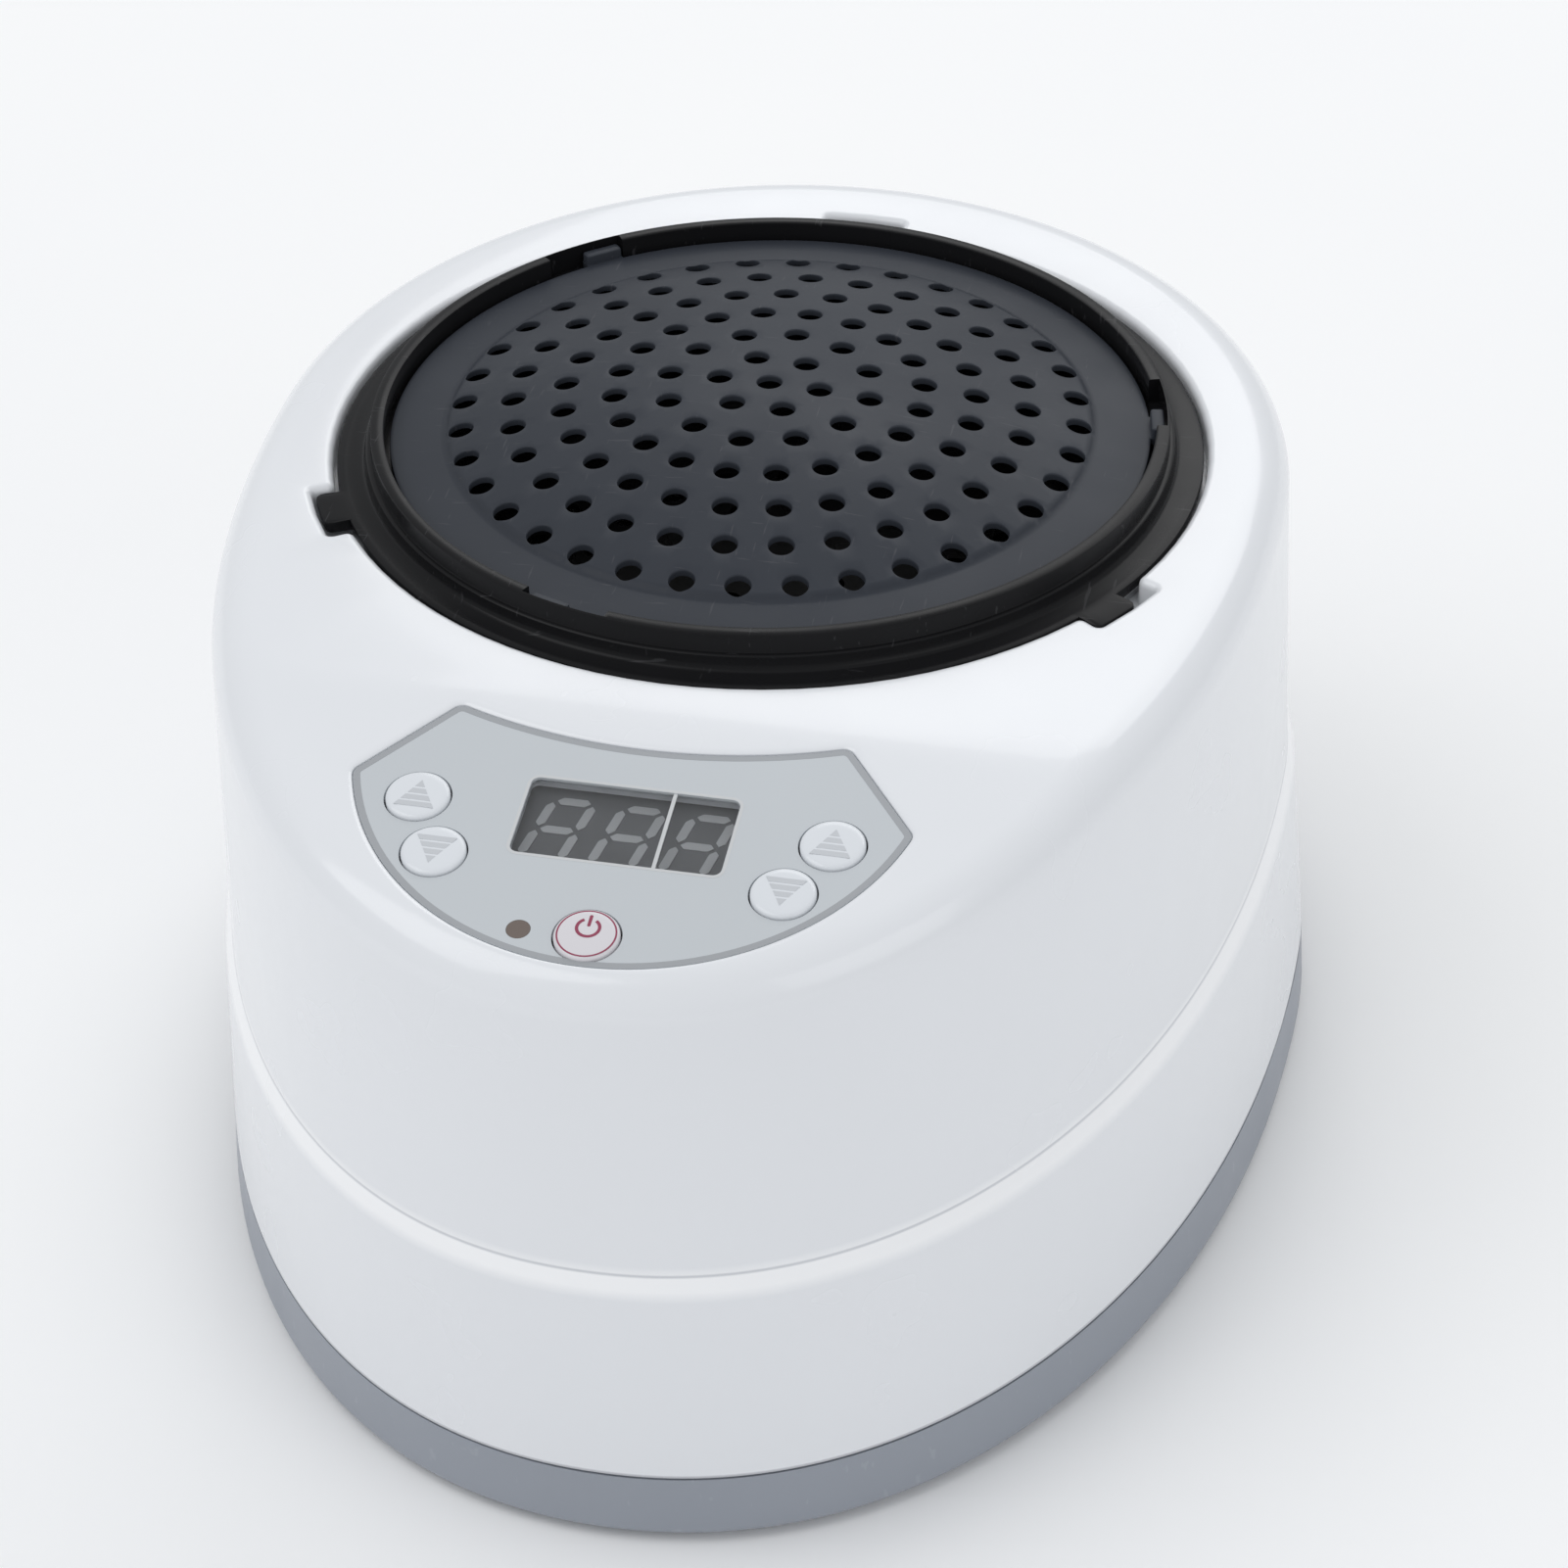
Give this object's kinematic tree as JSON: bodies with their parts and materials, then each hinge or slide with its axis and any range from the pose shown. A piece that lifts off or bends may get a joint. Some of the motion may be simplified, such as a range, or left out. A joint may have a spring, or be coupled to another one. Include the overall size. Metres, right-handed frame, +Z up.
{
  "type": "steam generator base",
  "caption": "Egg-shaped steam generator base: white housing on a grey tray, sloped key panel, water pot, collar, basket and domed perforated lid.",
  "frame": {"origin": "middle of the footprint, on the surface that the rubber feet stand on", "axes": "+Z up, -Y towards the control panel, +X to the right as seen from the front"},
  "size_m": [0.1998, 0.255, 0.1365],
  "materials": {
    "white_shell": "glossy cool white housing plastic",
    "grey_tray": "satin mid-grey plastic",
    "foot_rubber": "matte black rubber",
    "screw_steel": "zinc-plated steel",
    "pot_steel": "satin stainless steel",
    "silicone": "translucent silicone",
    "cast_aluminium": "cast aluminium",
    "element_steel": "heat-tinted steel",
    "zinc_steel": "zinc-plated sheet steel",
    "black_collar": "satin charcoal plastic",
    "black_lid": "satin charcoal plastic, slightly blue",
    "overlay_film": "silver-grey printed film",
    "clear_lens": "clear film window",
    "display_face": "dark grey display face",
    "button_cap": "glossy pale grey key",
    "power_cap": "glossy pale grey key with a crimson symbol",
    "component_black": "moulded component black",
    "circuit_board": "green solder mask",
    "smoked_window": "smoked brown plastic",
    "relay_case": "blue relay case",
    "terminal_green": "green terminal plastic",
    "inlet_black": "black inlet plastic",
    "pin_brass": "plated brass blade"
  },
  "bodies": {
    "housing": {"upper_shell": "white_shell", "base_tray": "grey_tray", "rubber_feet": "foot_rubber", "base_screws": "screw_steel", "water_pot": "pot_steel", "pot_gasket": "silicone", "heater_plate": "cast_aluminium", "heater_element": "element_steel", "clamp_bar": "zinc_steel", "clamp_stud": "zinc_steel", "clamp_nut": "screw_steel", "thermal_cutout": "component_black", "temperature_sensor": "pot_steel", "heat_shield": "zinc_steel", "panel_overlay": "overlay_film", "display_lens": "clear_lens", "display_module": "display_face", "tact_switches": "component_black", "control_board": "circuit_board", "board_screws": "screw_steel", "ir_receiver": "component_black", "ir_window": "smoked_window", "buzzer": "component_black", "power_board": "circuit_board", "power_board_screws": "screw_steel", "transformer": "component_black", "relay": "relay_case", "capacitor": "component_black", "triac": "component_black", "heat_sink": "cast_aluminium", "terminal_block": "terminal_green", "power_inlet": "inlet_black", "inlet_pins": "pin_brass"},
    "collar": {"collar_ring": "black_collar", "collar_seal": "silicone"},
    "basket": {"herb_basket": "black_collar"},
    "seal": {"lid_seal": "silicone"},
    "lid": {"herb_lid": "black_lid"},
    "timer_up_button": {"timer_up_button": "button_cap"},
    "timer_down_button": {"timer_down_button": "button_cap"},
    "heat_up_button": {"heat_up_button": "button_cap"},
    "heat_down_button": {"heat_down_button": "button_cap"},
    "power_button": {"power_button": "power_cap"}
  },
  "joints": [
    {"name": "collar_lift", "type": "slide", "parent": "housing", "child": "collar", "axis": [0, 0, 1], "range_m": [0, 0.03]},
    {"name": "basket_lift", "type": "slide", "parent": "collar", "child": "basket", "axis": [0, 0, 1], "range_m": [0, 0.08]},
    {"name": "lid_turn", "type": "hinge", "parent": "basket", "child": "seal", "pos_m": [0, 0.0188, 0.127], "axis": [0, 0, 1], "range_deg": [0, 6]},
    {"name": "lid_lift", "type": "slide", "parent": "seal", "child": "lid", "axis": [0, 0, 1], "range_m": [0, 0.06]},
    {"name": "timer_up_press", "type": "slide", "parent": "housing", "child": "timer_up_button", "axis": [0, 0.165, -0.9863], "range_m": [0, 0.0006], "stiffness_N_per_m": 400, "springref_m": -0.0005},
    {"name": "timer_down_press", "type": "slide", "parent": "housing", "child": "timer_down_button", "axis": [0, 0.165, -0.9863], "range_m": [0, 0.0006], "stiffness_N_per_m": 400, "springref_m": -0.0005},
    {"name": "heat_up_press", "type": "slide", "parent": "housing", "child": "heat_up_button", "axis": [0, 0.165, -0.9863], "range_m": [0, 0.0006], "stiffness_N_per_m": 400, "springref_m": -0.0005},
    {"name": "heat_down_press", "type": "slide", "parent": "housing", "child": "heat_down_button", "axis": [0, 0.165, -0.9863], "range_m": [0, 0.0006], "stiffness_N_per_m": 400, "springref_m": -0.0005},
    {"name": "power_press", "type": "slide", "parent": "housing", "child": "power_button", "axis": [0, 0.165, -0.9863], "range_m": [0, 0.0006], "stiffness_N_per_m": 400, "springref_m": -0.0005}
  ]
}
